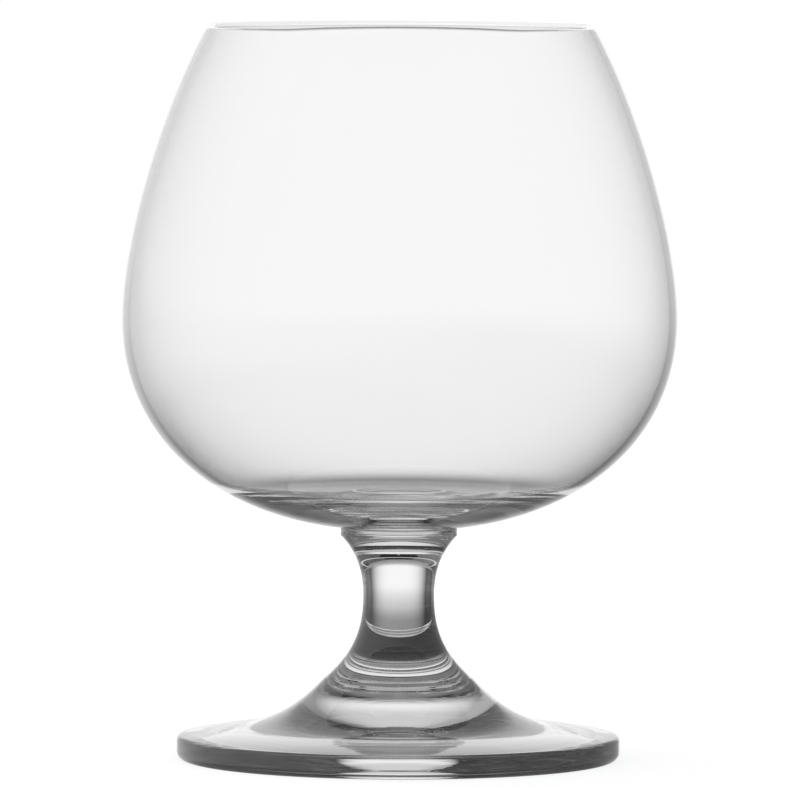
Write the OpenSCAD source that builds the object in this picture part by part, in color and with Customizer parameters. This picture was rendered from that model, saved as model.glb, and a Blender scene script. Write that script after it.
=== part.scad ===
// Brandy snifter: a blown bowl, a solid stem and a flared foot, fused end to end.
// The glass stands on the plane z = 0, with its axis along +Z.

/* [Bowl] */
// Height of the bowl, from its seam with the stem to its rim
bowl_h = 87.5; // [70:0.5:110]
// Outside diameter of the rim
rim_d = 67.2; // [56:0.2:80]
// Outside diameter at the widest level
belly_d = 95.8; // [84:0.2:112]
// Height of the widest level above the seam with the stem
belly_h = 37; // [28:0.5:46]
// Lean of the wall at the rim, in degrees from upright
rim_lean = 28; // [16:1:36]
// Thickness of the wall at the rim
rim_wall = 1.2; // [0.9:0.05:2]
// Thickness of the wall at the widest level
belly_wall = 1.3; // [1:0.05:2.5]
// Thickness of the glass in the middle of the floor, above the seam
floor_t = 6.7; // [5:0.1:8]
// Height of the short neck under the bowl
neck_h = 0.6; // [0.4:0.05:1.5]
// Rise of the bowl's underside where it leaves the neck, in degrees from flat
neck_rise = 6.2; // [2:0.2:14]

/* [Stem] */
// Height of the stem, from its seam with the foot to its seam with the bowl
stem_h = 25.3; // [20:0.1:45]
// Outside diameter of the stem's top, and of the neck above it
stem_top_d = 20.1; // [17:0.1:24]
// Diameter of the stem where it is thinnest
waist_d = 12.25; // [9:0.05:15]
// Height of the thinnest place above the seam with the foot
waist_h = 14.35; // [11:0.05:16]
// Diameter of the stem where it meets the foot
stem_base_d = 25.4; // [21:0.1:30]
// Height of the upright band around the stem's top
stem_band_h = 0.6; // [0.4:0.05:1.2]

/* [Foot] */
// Height of the foot, from the table to its seam with the stem
foot_h = 14.2; // [11:0.1:20]
// Outside diameter of the foot
foot_d = 76.6; // [66:0.2:90]
// Thickness of the foot at its edge
foot_edge_t = 4.1; // [3:0.1:6]
// Radius of the foot's upper edge
edge_top_r = 0.9; // [0.4:0.1:1.3]
// Radius of the foot's lower edge
edge_bottom_r = 1.5; // [0.8:0.1:1.6]
// Width of the flat ring that the foot rests on
rest_w = 2.9; // [1:0.1:5]
// Height of the hollow in the middle of the foot's underside
kick_h = 3.8; // [1:0.1:4.6]

/* [Seams] */
// Rounding of the edges on both sides of the seam under the bowl
seam_r = 0.15; // [0.05:0.01:0.2]

/* [Hidden] */

// How far each curve is pulled at its two ends, as shares of the height or width it crosses
shoulder_pull_shares = [0.26, 0.337];
underside_pull_shares = [0.553, 0.587];
inside_pull_shares = [0.515, 0.3];
floor_pull_shares = [0.25, 0.69];
stem_lower_pull_shares = [0.48, 0.38];
stem_upper_pull_shares = [0.58, 0.2];
foot_pull_shares = [0.5, 0.48];
kick_pull_shares = [0.02, 0.77];

// Directions in which curves end, in degrees from upright or from flat
stem_base_lean = 50;
stem_top_lean = 42;
foot_top_lean = 44;
foot_edge_rise = 10.5;
kick_rise = 4;

// Where the floor turns up into the wall, as a share of the way from the neck to the belly
floor_edge_share = 0.42;

curve_steps = 16;
corner_steps = 5;
$fn = 180;

stem_z = foot_h;
bowl_z = stem_z + stem_h;
neck_r = stem_top_d / 2;
base_r = stem_base_d / 2;

function unit(v) = v / norm(v);

// Points of a cubic curve from a to d, pulled towards b and c, without its first point
function curve(a, b, c, d) =
    [for (i = [1 : curve_steps]) let (t = i / curve_steps, s = 1 - t)
        s * s * s * a + 3 * s * s * t * b + 3 * s * t * t * c + t * t * t * d];

// The place on the same curve, and the way it heads there, after the share t of it
function curve_place(a, b, c, d, t) =
    let (s = 1 - t) s * s * s * a + 3 * s * s * t * b + 3 * s * t * t * c + t * t * t * d;
function curve_way(a, b, c, d, t) =
    let (s = 1 - t) unit(s * s * (b - a) + 2 * s * t * (c - b) + t * t * (d - c));

// Points of the arc of radius r that rounds the corner b between a and c
function corner(a, b, c, r) =
    let (u = unit(a - b),
         v = unit(c - b),
         half = acos(u * v) / 2,
         centre = b + unit(u + v) * r / sin(half),
         from = b + u * r / tan(half) - centre,
         to = b + v * r / tan(half) - centre,
         start = atan2(from.y, from.x),
         turn = (atan2(to.y, to.x) - start + 540) % 360 - 180)
    [for (i = [0 : corner_steps]) let (angle = start + turn * i / corner_steps)
        centre + r * [cos(angle), sin(angle)]];

// The bowl's outside from its seam up to the rim, then its inside down to the floor
function bowl_outline() =
    let (belly_r = belly_d / 2,
         shoulder_h = bowl_h - belly_h,
         down_wall = [sin(rim_lean), -cos(rim_lean)],
         across_wall = [cos(rim_lean), sin(rim_lean)] * rim_wall / 2,
         lip = [rim_d - rim_wall, 2 * bowl_h - rim_wall] / 2,
         neck = [neck_r, neck_h],
         belly = [belly_r, belly_h],
         inner_belly = [belly_r - belly_wall, belly_h],
         floor_middle = [0, floor_t],
         neck_pull = (belly_r - neck_r) * underside_pull_shares[0],
         under_pull = (belly_h - neck_h) * underside_pull_shares[1],
         belly_pull = shoulder_h * shoulder_pull_shares[0],
         rim_pull = shoulder_h * shoulder_pull_shares[1],
         under_from = neck + neck_pull * [cos(neck_rise), sin(neck_rise)],
         under_to = belly - [0, under_pull],
         edge_way = curve_way(neck, under_from, under_to, belly, floor_edge_share),
         floor_edge = curve_place(neck, under_from, under_to, belly, floor_edge_share)
             + belly_wall * [-edge_way.y, edge_way.x],
         inside_pull = (inner_belly.y - floor_edge.y) * inside_pull_shares,
         floor_pull = floor_edge.x * floor_pull_shares)
    concat(
        [[0, 0]],
        corner([0, 0], [neck_r, 0], neck, seam_r),
        [neck],
        curve(neck, under_from, under_to, belly),
        curve(belly, belly + [0, belly_pull],
            lip + across_wall + rim_pull * down_wall, lip + across_wall),
        [for (i = [1 : 2 * corner_steps - 1]) let (angle = rim_lean + 90 * i / corner_steps)
            lip + rim_wall / 2 * [cos(angle), sin(angle)]],
        [lip - across_wall],
        curve(lip - across_wall, lip - across_wall + rim_pull * down_wall,
            inner_belly + [0, belly_pull], inner_belly),
        curve(inner_belly, inner_belly - [0, inside_pull[0]],
            floor_edge + inside_pull[1] * edge_way, floor_edge),
        curve(floor_edge, floor_edge - floor_pull[0] * edge_way,
            floor_middle + [floor_pull[1], 0], floor_middle));

// The stem's side from its lower end up past the waist to its top
function stem_outline() =
    let (base = [base_r, 0],
         waist = [waist_d / 2, waist_h],
         band = [neck_r, stem_h - stem_band_h],
         top = [neck_r, stem_h],
         upper_h = band.y - waist_h,
         base_pull = waist_h * stem_lower_pull_shares[0],
         waist_down_pull = waist_h * stem_lower_pull_shares[1],
         waist_up_pull = upper_h * stem_upper_pull_shares[0],
         band_pull = upper_h * stem_upper_pull_shares[1])
    concat(
        [[0, 0], base],
        curve(base, base + base_pull * [-sin(stem_base_lean), cos(stem_base_lean)],
            waist - [0, waist_down_pull], waist),
        curve(waist, waist + [0, waist_up_pull],
            band - band_pull * [sin(stem_top_lean), cos(stem_top_lean)], band),
        corner(band, top, [0, stem_h], seam_r),
        [[0, stem_h]]);

// The foot's flare from its seam down to the edge, then the resting ring and the hollow under it
function foot_outline() =
    let (foot_r = foot_d / 2,
         seam = [base_r, foot_h],
         edge = [foot_r, foot_edge_t],
         uphill = [-cos(foot_edge_rise), sin(foot_edge_rise)],
         upper_edge = corner(edge + uphill, edge, [foot_r, 0], edge_top_r),
         lower_edge = corner(edge, [foot_r, 0], [0, 0], edge_bottom_r),
         flare_w = foot_r - base_r,
         seam_pull = flare_w * foot_pull_shares[0],
         edge_pull = flare_w * foot_pull_shares[1],
         ring_r = foot_r - edge_bottom_r - rest_w,
         ring = [ring_r, 0],
         kick = [0, kick_h])
    concat(
        [[0, foot_h], seam],
        curve(seam, seam + seam_pull * [sin(foot_top_lean), -cos(foot_top_lean)],
            upper_edge[0] + edge_pull * uphill, upper_edge[0]),
        [for (i = [1 : corner_steps]) upper_edge[i]],
        lower_edge,
        [ring],
        curve(ring, ring + ring_r * kick_pull_shares[0] * [-cos(kick_rise), sin(kick_rise)],
            kick + [ring_r * kick_pull_shares[1], 0], kick));

module bowl() {
    color([0.88, 0.91, 0.92, 0.4])
        translate([0, 0, bowl_z]) rotate_extrude() polygon(bowl_outline());
}

module stem() {
    color([0.8, 0.84, 0.86, 0.5])
        translate([0, 0, stem_z]) rotate_extrude() polygon(stem_outline());
}

module foot() {
    color([0.84, 0.88, 0.9, 0.45])
        rotate_extrude() polygon(foot_outline());
}

bowl();
stem();
foot();
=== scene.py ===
import math

import bpy
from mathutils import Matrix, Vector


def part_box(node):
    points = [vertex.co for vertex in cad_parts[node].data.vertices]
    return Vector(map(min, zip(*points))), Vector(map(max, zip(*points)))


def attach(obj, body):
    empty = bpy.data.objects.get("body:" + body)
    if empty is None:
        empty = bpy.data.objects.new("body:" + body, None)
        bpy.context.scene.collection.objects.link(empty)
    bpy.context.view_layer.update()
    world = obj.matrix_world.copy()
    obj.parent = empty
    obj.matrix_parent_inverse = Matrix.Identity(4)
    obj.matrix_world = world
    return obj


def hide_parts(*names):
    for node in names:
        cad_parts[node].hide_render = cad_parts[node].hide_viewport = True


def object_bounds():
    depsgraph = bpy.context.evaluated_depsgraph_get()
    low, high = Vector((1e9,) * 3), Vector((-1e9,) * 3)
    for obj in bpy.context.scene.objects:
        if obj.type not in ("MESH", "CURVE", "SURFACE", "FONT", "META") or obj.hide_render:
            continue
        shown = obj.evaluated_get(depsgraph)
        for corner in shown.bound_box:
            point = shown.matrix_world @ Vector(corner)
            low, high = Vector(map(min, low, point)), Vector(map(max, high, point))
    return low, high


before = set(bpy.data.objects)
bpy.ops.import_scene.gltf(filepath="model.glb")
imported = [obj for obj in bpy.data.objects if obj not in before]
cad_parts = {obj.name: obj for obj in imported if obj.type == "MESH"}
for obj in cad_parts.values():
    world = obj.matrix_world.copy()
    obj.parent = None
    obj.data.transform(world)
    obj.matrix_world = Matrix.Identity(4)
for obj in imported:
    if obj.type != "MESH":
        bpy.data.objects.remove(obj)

cad_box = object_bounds()
mm = 0.001
scene = bpy.context.scene


# The studio. A long lens looks down a little at the glass, which stands on a pale table before a white
# wall. Clear glass shows only what is round it: the white wall through its thin parts, and through its
# thick parts soft panels in a dark room, which draw them in white, grey and black.
def linear(hex_colour):
    """A hex colour, as it looks on a screen, as the linear colour that shaders take."""
    parts = [int(hex_colour[i : i + 2], 16) / 255 for i in (1, 3, 5)]
    return [p / 12.92 if p <= 0.04045 else ((p + 0.055) / 1.055) ** 2.4 for p in parts] + [1.0]


def empty_material(name):
    """A material with an empty node tree, and the tree."""
    material = bpy.data.materials.new(name)
    material.use_nodes = True
    material.node_tree.nodes.clear()
    return material, material.node_tree


def add_node(tree, kind, inputs=(), **settings):
    """Adds a node with its settings, sets or links its inputs by name or number, returns its outputs."""
    node = tree.nodes.new(kind)
    for name, value in settings.items():
        setattr(node, name, value)
    for name, value in dict(inputs).items():
        if isinstance(value, bpy.types.NodeSocket):
            tree.links.new(value, node.inputs[name])
        else:
            node.inputs[name].default_value = value
    return node.outputs


# The camera stands so far off, and so little above the rim, that rim and foot show as flat ellipses
glass_height = cad_box[1][2]
heights_away = 13.8
slope_at_rim = 0.0219
aim_height = 62.25 * mm
aim_side = 0.1 * mm
camera_roll = math.radians(0.22)
sensor_width = 36
photo_side = 800
pixels_per_metre = 5792

camera_distance = heights_away * glass_height
camera_height = glass_height + slope_at_rim * camera_distance
drop = math.atan((camera_height - aim_height) / camera_distance)
turn = math.atan(-aim_side / camera_distance)
aim_distance = camera_distance / math.cos(drop)
bpy.ops.object.camera_add(location=(0, -camera_distance, camera_height))
camera = bpy.context.object
camera.name = "camera"
camera.rotation_euler = (math.pi / 2 - drop, 0, turn)
camera.rotation_euler.rotate_axis("Z", camera_roll)
camera.data.sensor_width = sensor_width
camera.data.lens = sensor_width * pixels_per_metre * aim_distance / photo_side
camera.data.clip_end = 100
scene.camera = camera

# The table has pale matt paint. Part of its light is a glow, so that it is nearly white under a weak lamp
# and still takes the soft shadow of the glass.
table_side = 60
table_grey = linear("#9B9B9B")
table_glow = 0.68
white = linear("#FFFFFF")

bpy.ops.object.select_all(action="DESELECT")
bpy.ops.mesh.primitive_plane_add(size=table_side, location=(0, 0, 0))
table = bpy.context.object
table.name = "table"
table.visible_transmission = False
table.visible_glossy = False
paint, tree = empty_material("pale_table_paint")
matt = add_node(tree, "ShaderNodeBsdfDiffuse", {"Color": table_grey})
glow = add_node(tree, "ShaderNodeEmission", {"Color": white, "Strength": table_glow})
both = add_node(tree, "ShaderNodeAddShader", {0: matt[0], 1: glow[0]})
add_node(tree, "ShaderNodeOutputMaterial", {"Surface": both[0]})
table.data.materials.append(paint)

# Light that passes down through the bowl's wall would fall on the table far behind the glass, which is
# white. This sheet round the bowl stands in for it there. Only light that crossed the two sides of one
# wall, on its way down, sees the sheet.
sheet_side = 0.8
sheet_height = 52 * mm
sheet_starts = 52 * mm
sheet_is_white = 85 * mm

bpy.ops.mesh.primitive_plane_add(size=sheet_side, location=(0, 0, sheet_height))
sheet = bpy.context.object
sheet.name = "far_table"
sheet.visible_camera = False
sheet.visible_diffuse = False
sheet.visible_glossy = False
sheet.visible_shadow = False
far_white, tree = empty_material("far_white_table")
path = add_node(tree, "ShaderNodeLightPath")
bounces = path["Glossy Depth"]
crossings = path["Transmission Depth"]
straight = add_node(tree, "ShaderNodeMath", {0: bounces, 1: 0.5}, operation="LESS_THAN")[0]
twice = add_node(tree, "ShaderNodeMath", {0: crossings, 1: 2, 2: 0.5}, operation="COMPARE")[0]
upwards = add_node(tree, "ShaderNodeNewGeometry")["Backfacing"]
downwards = add_node(tree, "ShaderNodeMath", {0: 1.0, 1: upwards}, operation="SUBTRACT")[0]
place = add_node(tree, "ShaderNodeTexCoord")["Object"]
away = add_node(tree, "ShaderNodeVectorMath", {0: place}, operation="LENGTH")["Value"]
fade = add_node(tree, "ShaderNodeMapRange", {
    "Value": away, "From Min": sheet_starts, "From Max": sheet_is_white}, interpolation_type="SMOOTHSTEP")[0]
shown = add_node(tree, "ShaderNodeMath", {0: straight, 1: twice}, operation="MULTIPLY")[0]
shown = add_node(tree, "ShaderNodeMath", {0: shown, 1: downwards}, operation="MULTIPLY")[0]
shown = add_node(tree, "ShaderNodeMath", {0: shown, 1: fade}, operation="MULTIPLY")[0]
hidden = add_node(tree, "ShaderNodeBsdfTransparent", {"Color": white})
glow = add_node(tree, "ShaderNodeEmission", {"Color": white, "Strength": 1.0})
both = add_node(tree, "ShaderNodeMixShader", {0: shown, 1: hidden[0], 2: glow[0]})
add_node(tree, "ShaderNodeOutputMaterial", {"Surface": both[0]})
sheet.data.materials.append(far_white)

# The world is the rest of the studio. Its parts are given as brightness, where 1 is white, and the edges
# of its panels in degrees to each side.
back_wall = 1.0
back_panel = 1.0
side_panels = 0.3
lit_panel = 1.2
leaked_share = 0.75
dark_room = 0.03
bright_side = 1.0
dim_side = 0.35
soft_panel = (3, 43)
crisp_panel = (9, 18)
speck_scale = 3.5


def sine(degrees):
    """The height of a direction that rises by so many degrees."""
    return math.sin(math.radians(degrees))


def cosine(degrees):
    """How much a direction that is turned away by so many degrees still points ahead."""
    return math.cos(math.radians(degrees))


world = bpy.data.worlds.new("dark_studio_with_soft_panels")
world.use_nodes = True
scene.world = world
tree = world.node_tree
tree.nodes.clear()
path = add_node(tree, "ShaderNodeLightPath")
way = add_node(tree, "ShaderNodeTexCoord")["Generated"]
axes = add_node(tree, "ShaderNodeSeparateXYZ", {0: way})
right = axes["X"]
up = axes["Z"]
flat = add_node(tree, "ShaderNodeVectorMath", {0: way, 1: (1, 1, 0)}, operation="MULTIPLY")[0]
level = add_node(tree, "ShaderNodeVectorMath", {0: flat}, operation="NORMALIZE")[0]
back = add_node(tree, "ShaderNodeSeparateXYZ", {0: level})["Y"]
folded = add_node(tree, "ShaderNodeVectorMath", {0: level}, operation="ABSOLUTE")[0]
either = add_node(tree, "ShaderNodeSeparateXYZ", {0: folded})
side = add_node(tree, "ShaderNodeMath", {0: either["X"], 1: either["Y"]}, operation="MAXIMUM")[0]
specks = add_node(tree, "ShaderNodeTexNoise", {"Vector": way, "Scale": speck_scale, "Detail": 2.0})[0]

# Each part fades smoothly along a direction: the direction, its two ends, and the brightness at each
light = {
    "crossings": path["Transmission Depth"],
    "bounces": path["Glossy Depth"],
    "to camera": path["Is Camera Ray"],
    "to table": path["Is Diffuse Ray"],
}
for name, along, start, end, first, last in (
    # Soft panels on four sides, their lower and upper ends, and a faint glow in the corners between them
    ("soft back", back, cosine(soft_panel[1]), cosine(soft_panel[0]), 0, back_panel),
    ("soft sides", side, cosine(soft_panel[1]), cosine(soft_panel[0]), 0, back_panel * side_panels),
    ("panel foot", up, sine(-20), sine(5), 0.27, 1),
    ("panel top", up, sine(20), sine(34), 1, 0.5),
    ("corner", side, cosine(33), cosine(43), 0, 0.12),
    # The table, low down and right below, which the bowl doesn't show behind it
    ("table", up, sine(-36), sine(-26), 0.8, 0),
    ("table below", up, sine(-72), sine(-62), 0.85, 0),
    ("not behind", back, cosine(50), cosine(30), 1, 0),
    # The white wall
    ("wall foot", up, sine(-38), sine(-5), 0.2, 1),
    ("wall top", up, 0.4, 0.7, back_wall, 0.4),
    # A narrow panel that the outside of the glass mirrors
    ("crisp back", back, cosine(crisp_panel[1]), cosine(crisp_panel[0]), 0, 1),
    ("lit foot", up, sine(-18), sine(10), 0, 1),
    ("lit top", up, sine(17), sine(34), 1, 0),
    # The same soft panels, as light that was mirrored once inside the glass sees them
    ("inner foot", up, sine(-23), sine(9), 0, 1),
    ("inner top", up, 0, sine(20), 1, 0.65),
    ("side top", up, sine(25), sine(50), 1, 0),
    # The room, which is brighter on the left
    ("room", right, -1, 1, bright_side, dim_side),
    ("room foot", up, sine(-5), sine(5), 0, 0.5),
    ("room floor", up, sine(-27), sine(-11), 0.35, 1),
    ("room top", up, sine(40), sine(65), 1, 0.05),
    # What is left of it after more bounces, with a few small lights
    ("deep", up, sine(-12), sine(24), 0.17, 0.45),
    ("small lights", specks, 0.5, 0.62, 0, 0.06),
    # The room as the bowl's walls mirror it, and as light sees it that was caught in a wall and leaked out
    ("bowl room", up, sine(-5), sine(15), 0.96, 0.2),
    ("leaked down", up, -0.15, 0.15, 0.9, 0.04),
):
    ramp = {"Value": along, "From Min": start, "From Max": end, "To Min": first, "To Max": last}
    light[name] = add_node(tree, "ShaderNodeMapRange", ramp, interpolation_type="SMOOTHSTEP")[0]

# What a ray sees is worked out from these parts, one step a line: the result, the sum, and its two terms
for name, operation, one, other in (
    # Straight through the thick parts
    ("soft", "MAXIMUM", "soft back", "soft sides"),
    ("tall", "MULTIPLY", "panel foot", "panel top"),
    ("solid", "MAXIMUM", "soft", "corner"),
    ("solid", "MULTIPLY", "solid", "tall"),
    ("solid", "MAXIMUM", "solid", "table"),
    ("solid", "MAXIMUM", "solid", dark_room),
    # Straight through both walls of the bowl
    ("clear", "MULTIPLY", "wall foot", "wall top"),
    ("table round", "MULTIPLY", "table", "not behind"),
    ("table round", "MAXIMUM", "table round", "table below"),
    ("clear", "MAXIMUM", "clear", "table round"),
    # Off the outside
    ("lit", "MULTIPLY", "lit foot", "lit top"),
    ("lit", "MULTIPLY", "lit", "crisp back"),
    ("outer room", "MULTIPLY", "room", "room floor"),
    # After one bounce inside the thick parts
    ("inner", "MULTIPLY", "inner foot", "inner top"),
    ("low sides", "MULTIPLY", "soft sides", "side top"),
    ("low sides", "MAXIMUM", "low sides", "soft back"),
    ("inner", "MULTIPLY", "inner", "low sides"),
    ("near", "MULTIPLY", "room", "room foot"),
    ("near", "MULTIPLY", "near", "room top"),
    ("dark", "MULTIPLY", "room top", dark_room),
    ("inner", "MAXIMUM", "inner", "near"),
    ("inner", "MAXIMUM", "inner", "dark"),
    # After more bounces inside them
    ("deep", "MULTIPLY", "deep", "soft back"),
    ("deep", "MAXIMUM", "deep", "small lights"),
    ("deep", "ADD", "deep", "dark"),
    # After a bounce in the bowl, or out of the side of its wall
    ("bowl room", "MULTIPLY", "bowl room", "room"),
    ("leaked", "MULTIPLY", "soft back", leaked_share),
    ("leaked", "MAXIMUM", "leaked", "leaked down"),
    # How many surfaces it crossed and how often it was mirrored, as yes or no
    ("entered", "GREATER_THAN", "crossings", 0.5),
    ("left", "GREATER_THAN", "crossings", 1.5),
    ("crossed", "GREATER_THAN", "crossings", 2.5),
    ("bounced", "GREATER_THAN", "bounces", 0.5),
    ("bounced on", "GREATER_THAN", "bounces", 1.5),
    ("caught", "SUBTRACT", "entered", "left"),
    ("plain", "MAXIMUM", "to camera", "to table"),
):
    terms = {0: light.get(one, one), 1: light.get(other, other)}
    light[name] = add_node(tree, "ShaderNodeMath", terms, operation=operation)[0]

# Which of them a ray sees depends on its way through the glass: the result, the question, and what is seen
# for no and for yes
for name, question, no, yes in (
    ("outside", "lit", "outer room", lit_panel),
    ("inside", "bounced on", "inner", "deep"),
    ("bounce", "entered", "outside", "inside"),
    ("bounce", "crossed", "bounce", "bowl room"),
    ("through", "crossed", "solid", "clear"),
    ("seen", "bounced", "through", "bounce"),
    ("seen", "caught", "seen", "leaked"),
    ("seen", "plain", "seen", back_wall),
):
    choice = {0: light[question], 2: light[no], 3: light.get(yes, yes)}
    light[name] = add_node(tree, "ShaderNodeMix", choice, data_type="FLOAT")[0]
glow = add_node(tree, "ShaderNodeBackground", {"Color": white, "Strength": light["seen"]})
add_node(tree, "ShaderNodeOutputWorld", {"Surface": glow[0]})

# Light is mirrored many times inside thick glass before it leaves
most_bounces = 32
scene.view_settings.view_transform = "Standard"
scene.cycles.max_bounces = most_bounces
scene.cycles.transmission_bounces = most_bounces
scene.cycles.glossy_bounces = most_bounces
scene.cycles.transparent_max_bounces = most_bounces
scene.cycles.blur_glossy = 0

# One weak lamp, high on the left, gives the glass its soft shadow on the table
lamp_place = (-0.5, 0.3, 1.1)
lamp_size = 0.7
lamp_power = 3
lamp_tilt = (math.radians(-16), math.radians(-24), 0)

bpy.ops.object.light_add(type="AREA", location=lamp_place)
lamp = bpy.context.object
lamp.name = "soft_lamp"
lamp.data.shape = "DISK"
lamp.data.size = lamp_size
lamp.data.energy = lamp_power
lamp.rotation_euler = lamp_tilt
lamp.visible_glossy = False
lamp.visible_transmission = False


# The foot. A round disc of clear crystal glass that is pressed hot from a gather and spun flat, so that it
# thins towards a rounded edge. It is hollow underneath and rests on the ring at its edge.
def turned_glass(name, knots):
    """Turns an outline about +Z. A knot is (radius, height, heading, pull before, pull after), in mm and
    degrees, and two knots at one place make a corner."""
    curve_steps = 64
    turning_steps = 216
    corner_angle = 30
    knot_gap = 0.05 * mm
    axis_gap = 0.001 * mm
    start_gap = 0.002 * mm
    bpy.ops.object.select_all(action="DESELECT")
    bpy.ops.curve.primitive_bezier_curve_add(location=(0, 0, 0))
    piece = bpy.context.object
    piece.name = name
    outline = piece.data.splines[0]
    outline.bezier_points.add(len(knots) - len(outline.bezier_points))
    for point, (radius, height, heading, before, after) in zip(outline.bezier_points, knots):
        outwards = cosine(heading)
        upwards = sine(heading)
        point.handle_left_type = point.handle_right_type = "FREE"
        point.co = (radius * mm, 0, height * mm)
        point.handle_left = ((radius - before * outwards) * mm, 0, (height - before * upwards) * mm)
        point.handle_right = ((radius + after * outwards) * mm, 0, (height + after * upwards) * mm)
    piece.data.resolution_u = outline.resolution_u = curve_steps
    bpy.ops.object.convert(target="MESH")
    bpy.ops.object.mode_set(mode="EDIT")
    bpy.ops.mesh.select_all(action="SELECT")
    bpy.ops.mesh.remove_doubles(threshold=knot_gap)
    bpy.ops.object.mode_set(mode="OBJECT")
    turning = piece.modifiers.new("turning", "SCREW")
    turning.axis = "Z"
    turning.steps = turning.render_steps = turning_steps
    turning.use_merge_vertices = True
    turning.merge_threshold = axis_gap
    bpy.ops.object.modifier_apply(modifier=turning.name)
    bpy.ops.object.mode_set(mode="EDIT")
    bpy.ops.mesh.select_all(action="SELECT")
    bpy.ops.mesh.remove_doubles(threshold=start_gap)
    bpy.ops.mesh.normals_make_consistent(inside=False)
    bpy.ops.object.mode_set(mode="OBJECT")
    bpy.ops.object.shade_smooth_by_angle(angle=math.radians(corner_angle))
    return piece


def clear_crystal_glass(name, outward, upward, spacing, depth, calm_z, calm_reach,
                        wall_z=0, wall_bounces=99, floor_bounces=99, ring=None):
    """Colourless crystal glass, fire-polished, so that it is quite smooth and its edges are bright or black.
    Its ripples from hot working lie spacing mm apart along the way outward and upward, and depth mm deep.
    They run round the axis, and are missing within calm_reach mm of the height calm_z. Light that bounced
    more often than wall_bounces above the height wall_z, or than floor_bounces below it, leaves through the
    side. A ring is a painted highlight on a ridge left by the tools, where the glass glows white: its radius
    and half width, the lowest and the highest level at which it shows, and how bright it is."""
    stretch = (0.08, 0.08, 0)
    calm_fade = 3
    wall_fade = 1
    material, tree = empty_material(name)

    place = add_node(tree, "ShaderNodeTexCoord")["Object"]
    height = add_node(tree, "ShaderNodeSeparateXYZ", {0: place})["Z"]
    flat = add_node(tree, "ShaderNodeVectorMath", {0: place, 1: (1, 1, 0)}, operation="MULTIPLY")[0]
    radius = add_node(tree, "ShaderNodeVectorMath", {0: flat}, operation="LENGTH")["Value"]
    rise = add_node(tree, "ShaderNodeMath", {0: height, 1: upward}, operation="MULTIPLY")[0]
    along = add_node(tree, "ShaderNodeMath", {0: radius, 1: outward, 2: rise}, operation="MULTIPLY_ADD")[0]
    stretched = add_node(tree, "ShaderNodeVectorMath", {0: flat, 1: stretch}, operation="MULTIPLY")[0]
    streak = add_node(tree, "ShaderNodeCombineXYZ", {"Z": along})[0]
    streaks = add_node(tree, "ShaderNodeVectorMath", {0: stretched, 1: streak}, operation="ADD")[0]
    noise = add_node(tree, "ShaderNodeTexNoise", {
        "Vector": streaks, "Scale": 1 / (spacing * mm), "Detail": 0.5})[0]
    above = add_node(tree, "ShaderNodeMath", {0: height, 1: calm_z * mm}, operation="SUBTRACT")[0]
    away = add_node(tree, "ShaderNodeMath", {0: above}, operation="ABSOLUTE")[0]
    rough = add_node(tree, "ShaderNodeMapRange", {
        "Value": away, "From Min": calm_reach * mm, "From Max": (calm_reach + calm_fade) * mm,
        "To Min": 0.0, "To Max": depth * mm}, interpolation_type="SMOOTHSTEP")[0]
    relief = add_node(tree, "ShaderNodeMath", {0: noise, 1: rough}, operation="MULTIPLY")[0]
    bump = add_node(tree, "ShaderNodeBump", {"Strength": 1.0, "Distance": 1.0, "Height": relief})[0]
    glass = add_node(tree, "ShaderNodeBsdfPrincipled", {
        "Base Color": white, "Roughness": 0.0, "IOR": 1.52, "Transmission Weight": 1.0, "Normal": bump})

    path = add_node(tree, "ShaderNodeLightPath")
    bounces = path["Glossy Depth"]
    crossings = path["Transmission Depth"]
    limit = add_node(tree, "ShaderNodeMapRange", {
        "Value": height, "From Min": wall_z * mm, "From Max": (wall_z + wall_fade) * mm,
        "To Min": floor_bounces, "To Max": wall_bounces})[0]
    tired = add_node(tree, "ShaderNodeMath", {0: bounces, 1: limit}, operation="GREATER_THAN")[0]
    caught = add_node(tree, "ShaderNodeMath", {0: crossings, 1: 1.5}, operation="LESS_THAN")[0]
    leaks = add_node(tree, "ShaderNodeMath", {0: tired, 1: caught}, operation="MULTIPLY")[0]
    open_side = add_node(tree, "ShaderNodeBsdfTransparent", {"Color": white})
    seen = add_node(tree, "ShaderNodeMixShader", {0: leaks, 1: glass[0], 2: open_side[0]})

    if ring:
        ring_r, half_width, lowest, highest, share = ring
        # Painted highlight: in a thin band round the axis, a white glow is mixed into the glass
        bright = add_node(tree, "ShaderNodeEmission", {"Color": white, "Strength": 1.0})
        outside = add_node(tree, "ShaderNodeMath", {0: radius, 1: ring_r * mm}, operation="SUBTRACT")[0]
        beside = add_node(tree, "ShaderNodeMath", {0: outside}, operation="ABSOLUTE")[0]
        painted_glint = add_node(tree, "ShaderNodeMapRange", {
            "Value": beside, "From Min": 0.0, "From Max": half_width * mm,
            "To Min": share, "To Max": 0.0}, interpolation_type="SMOOTHSTEP")[0]
        over = add_node(tree, "ShaderNodeMath", {0: height, 1: lowest * mm}, operation="GREATER_THAN")[0]
        under = add_node(tree, "ShaderNodeMath", {0: height, 1: highest * mm}, operation="LESS_THAN")[0]
        painted_glint = add_node(tree, "ShaderNodeMath", {0: painted_glint, 1: over}, operation="MULTIPLY")[0]
        painted_glint = add_node(tree, "ShaderNodeMath", {0: painted_glint, 1: under}, operation="MULTIPLY")[0]
        seen = add_node(tree, "ShaderNodeMixShader", {0: painted_glint, 1: seen[0], 2: bright[0]})

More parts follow.
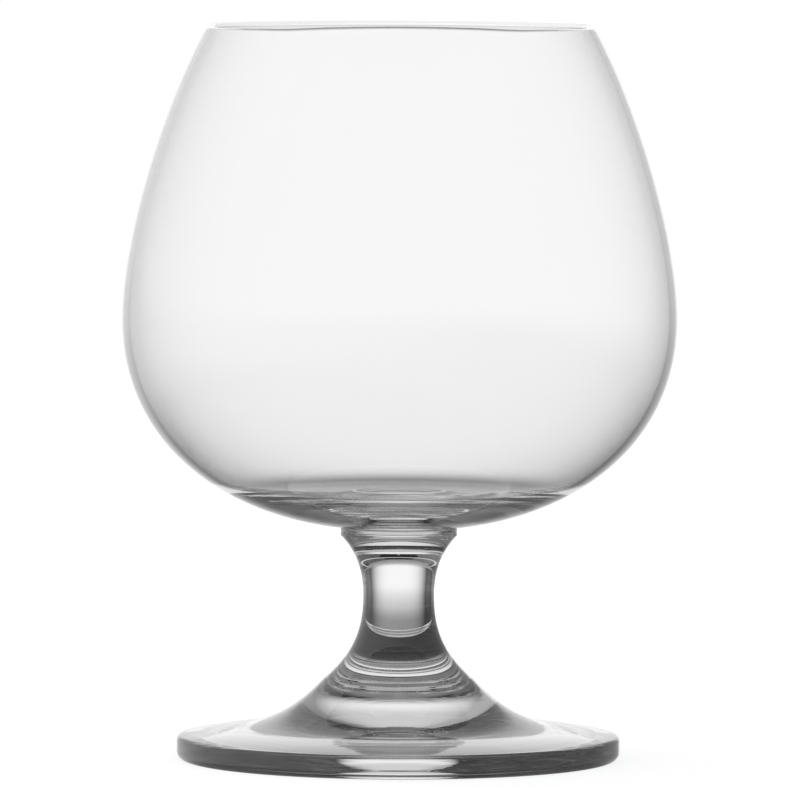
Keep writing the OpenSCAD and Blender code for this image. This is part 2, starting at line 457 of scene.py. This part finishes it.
    # The lamp's light goes straight through, so that the glass throws a pale shadow and no dark one
    unlit = add_node(tree, "ShaderNodeMath", {
        0: path["Is Shadow Ray"], 1: path["Is Diffuse Ray"]}, operation="MAXIMUM")[0]
    shade = add_node(tree, "ShaderNodeBsdfTransparent", {"Color": linear("#E6E8E8")})
    mix = add_node(tree, "ShaderNodeMixShader", {0: unlit, 1: seen[0], 2: shade[0]})
    add_node(tree, "ShaderNodeOutputMaterial", {"Surface": mix[0]})
    return material


# Where two pieces are fused no surface is left in the real glass, so light passes through those faces
fused_seam, tree = empty_material("fused_seam")
fused = add_node(tree, "ShaderNodeBsdfTransparent", {"Color": white})
add_node(tree, "ShaderNodeOutputMaterial", {"Surface": fused[0]})


def finish_glass(piece, glass, *seams):
    """Gives a piece its glass, and the flat faces at the heights of its seams the fused seam."""
    flatness = 0.01 * mm
    piece.data.materials.append(glass)
    piece.data.materials.append(fused_seam)
    for face in piece.data.polygons:
        if any(abs(face.center.z - height * mm) < flatness for height in seams):
            face.material_index = 1


# A quarter circle is drawn by two knots with this share of its radius as their pulls
arc = 0.5523
foot_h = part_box("foot")[1][2] / mm
foot_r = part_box("foot")[1][0] / mm
base_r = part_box("stem")[1][0] / mm
base_slope = -46
top_slope = -10.5
edge_h = 4.1
edge_top_r = 0.75
edge_swell = 0.15
edge_low_r = 1.5
rest_w = 2.9
kick_h = 3.8
kick_start = 175

rest_outer_r = foot_r - edge_low_r
rest_inner_r = rest_outer_r - rest_w
foot = turned_glass("foot_glass", [
    # The seam with the stem
    (0, foot_h, 0, 0, 1),
    (base_r, foot_h, 0, 1, 0),
    # The slope out to the edge, and the edge, rounded above and below
    (base_r, foot_h, base_slope, 0, 12.8),
    (foot_r - edge_top_r, edge_h + edge_swell, top_slope, 12.3, 0.4),
    (foot_r, edge_h - edge_top_r, -90, 0.45, 0.4),
    (foot_r, edge_low_r, -90, 0.4, edge_low_r * arc),
    # The ring that the glass rests on, and the hollow inside it
    (rest_outer_r, 0, 180, edge_low_r * arc, 0.3),
    (rest_inner_r, 0, 180, 0.3, 0),
    (rest_inner_r, 0, kick_start, 0, 0.6),
    (0, kick_h, 180, 26, 0),
])

# Pressed and spun glass has shallow ripples all over, which make the bands that it mirrors waver a little
glass = clear_crystal_glass("pressed_and_spun_crystal_glass", outward=1, upward=-1, spacing=1.3,
                            depth=0.012, calm_z=100, calm_reach=50)
finish_glass(foot, glass, foot_h)
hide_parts("foot")
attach(foot, "root")

# The stem. Solid clear crystal glass, drawn hot between the bowl and the foot, so that it is thinnest in the
# middle and flares at both ends. Its top is pressed flat against the bowl's neck and fused to it.
seam_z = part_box("stem")[1][2] / mm
neck_r = 10.05
waist_r = 6.125
waist_h = 14.35
base_lean = 50
top_lean = 42
band_h = 0.6
seam_r = 0.15

stem = turned_glass("stem_glass", [
    # The seam with the foot
    (0, foot_h, 0, 0, 1),
    (base_r, foot_h, 0, 1, 0),
    # In to the waist and out to the top
    (base_r, foot_h, 90 + base_lean, 0, 6.89),
    (waist_r, foot_h + waist_h, 90, 5.45, 6.0),
    (neck_r, seam_z - band_h, 90 - top_lean, 2.07, 0),
    # The upright band round the top, and the seam with the bowl
    (neck_r, seam_z - band_h, 90, 0, 0.1),
    (neck_r, seam_z - seam_r, 90, 0.1, seam_r * arc),
    (neck_r - seam_r, seam_z, 180, seam_r * arc, 1),
    (0, seam_z, 180, 1, 0),
])

# Drawn glass has fine ripples at both ends and a smooth waist, which shows the panel behind it clearly
glass = clear_crystal_glass("drawn_crystal_glass", outward=0, upward=1, spacing=1.6,
                            depth=0.008, calm_z=28, calm_reach=6)
finish_glass(stem, glass, foot_h, seam_z)
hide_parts("stem")
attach(stem, "root")

# The bowl. Blown from a gather of clear crystal glass into a wide belly that narrows to a fire-polished
# rim. Its wall is thin down to the floor, which is thick and nearly flat and ends in a short neck.
top_z = 127.0
rim_r = 33.6
rim_wall = 1.2
rim_lean = 28
belly_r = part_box("bowl")[1][0] / mm
belly_h = 37
belly_wall = 1.3
floor_t = 6.7
bend_r = 32.5
bend_h = 9.9
bend_lean = 35
neck_h = 0.5
neck_round = 0.34
neck_out = 0.4
neck_up = 0.35
neck_slope = 6.2

belly_z = seam_z + belly_h
half = rim_wall / 2
lip_r = rim_r - half
lip_z = top_z - half
lip_out = half * cosine(rim_lean)
lip_up = half * sine(rim_lean)
bowl = turned_glass("bowl_glass", [
    # The seam with the stem, and the neck
    (0, seam_z, 0, 0, 1),
    (neck_r - seam_r, seam_z, 0, 1, seam_r * arc),
    (neck_r, seam_z + seam_r, 90, seam_r * arc, 0.05),
    (neck_r, seam_z + neck_h, 90, 0.05, neck_round * arc),
    # The underside, the belly and the shoulder
    (neck_r + neck_out, seam_z + neck_h + neck_up, neck_slope, neck_round * arc, 20.6),
    (belly_r, belly_z, 90, 21.4, 13.1),
    # The round edge of the rim
    (lip_r + lip_out, lip_z + lip_up, 90 + rim_lean, 17.0, half * arc),
    (lip_r - lip_up, lip_z + lip_out, 180 + rim_lean, half * arc, half * arc),
    (lip_r - lip_out, lip_z - lip_up, 270 + rim_lean, half * arc, 17.0),
    # The inside, down to the middle of the floor
    (belly_r - belly_wall, belly_z, 270, 13.1, 13.9),
    (bend_r, seam_z + bend_h, 180 + bend_lean, 8.1, 8.1),
    (0, seam_z + floor_t, 180, 22.5, 0),
])

# The rim isn't quite flat, as on any blown glass. A wave is (degrees round from the front, lift, reach)
waves = (
    (0, 0.45, 22),
    (-42, -0.2, 12),
    (-70, -0.38, 15),
    (42, -0.2, 12),
    (70, -0.38, 15),
)
grip = 1
bpy.ops.object.mode_set(mode="EDIT")
bpy.ops.mesh.select_all(action="DESELECT")
bpy.ops.object.mode_set(mode="OBJECT")
for turned, lift, reach in waves:
    crest = (rim_r * mm * sine(turned), -rim_r * mm * cosine(turned))
    for vertex in bowl.data.vertices:
        beside = math.hypot(vertex.co.x - crest[0], vertex.co.y - crest[1])
        vertex.select = vertex.co.z > (top_z - grip) * mm and beside < grip * mm
    bpy.ops.object.mode_set(mode="EDIT")
    bpy.ops.transform.translate(value=(0, 0, lift * mm), use_proportional_edit=True,
                                proportional_edit_falloff="SMOOTH", proportional_size=reach * mm)
    bpy.ops.mesh.select_all(action="DESELECT")
    bpy.ops.object.mode_set(mode="OBJECT")

# A fine ridge, left by the tools, stands round the middle of the floor and catches the light, helped by a
# painted highlight: the glass glows white in a thin band over it
ridge_r = 7.85
ridge_h = 0.14
ridge_half_w = 0.3
# The painted highlight over the ridge: its half width, and its share of white glow
glint_half_w = 0.4
glint_share = 0.7
floor_low = 45.5
floor_high = 50
for vertex in bowl.data.vertices:
    beside = abs(math.hypot(vertex.co.x, vertex.co.y) - ridge_r * mm)
    vertex.select = beside < ridge_half_w * mm and floor_low * mm < vertex.co.z < floor_high * mm
bpy.ops.object.mode_set(mode="EDIT")
bpy.ops.transform.translate(value=(0, 0, ridge_h * mm))
bpy.ops.object.mode_set(mode="OBJECT")

# Blown glass has smooth clear walls, and in its base deeper ripples from where it was worked hot. Its ring
# is a painted highlight, a band of white glow over the ridge in its floor
glass = clear_crystal_glass("blown_crystal_glass", outward=1, upward=0.6, spacing=1.4,
                            depth=0.03, calm_z=90, calm_reach=45,
                            wall_z=55, wall_bounces=5.5, floor_bounces=16.5,
                            ring=(ridge_r, glint_half_w, floor_low, floor_high, glint_share))
finish_glass(bowl, glass, seam_z)
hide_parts("bowl")
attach(bowl, "root")
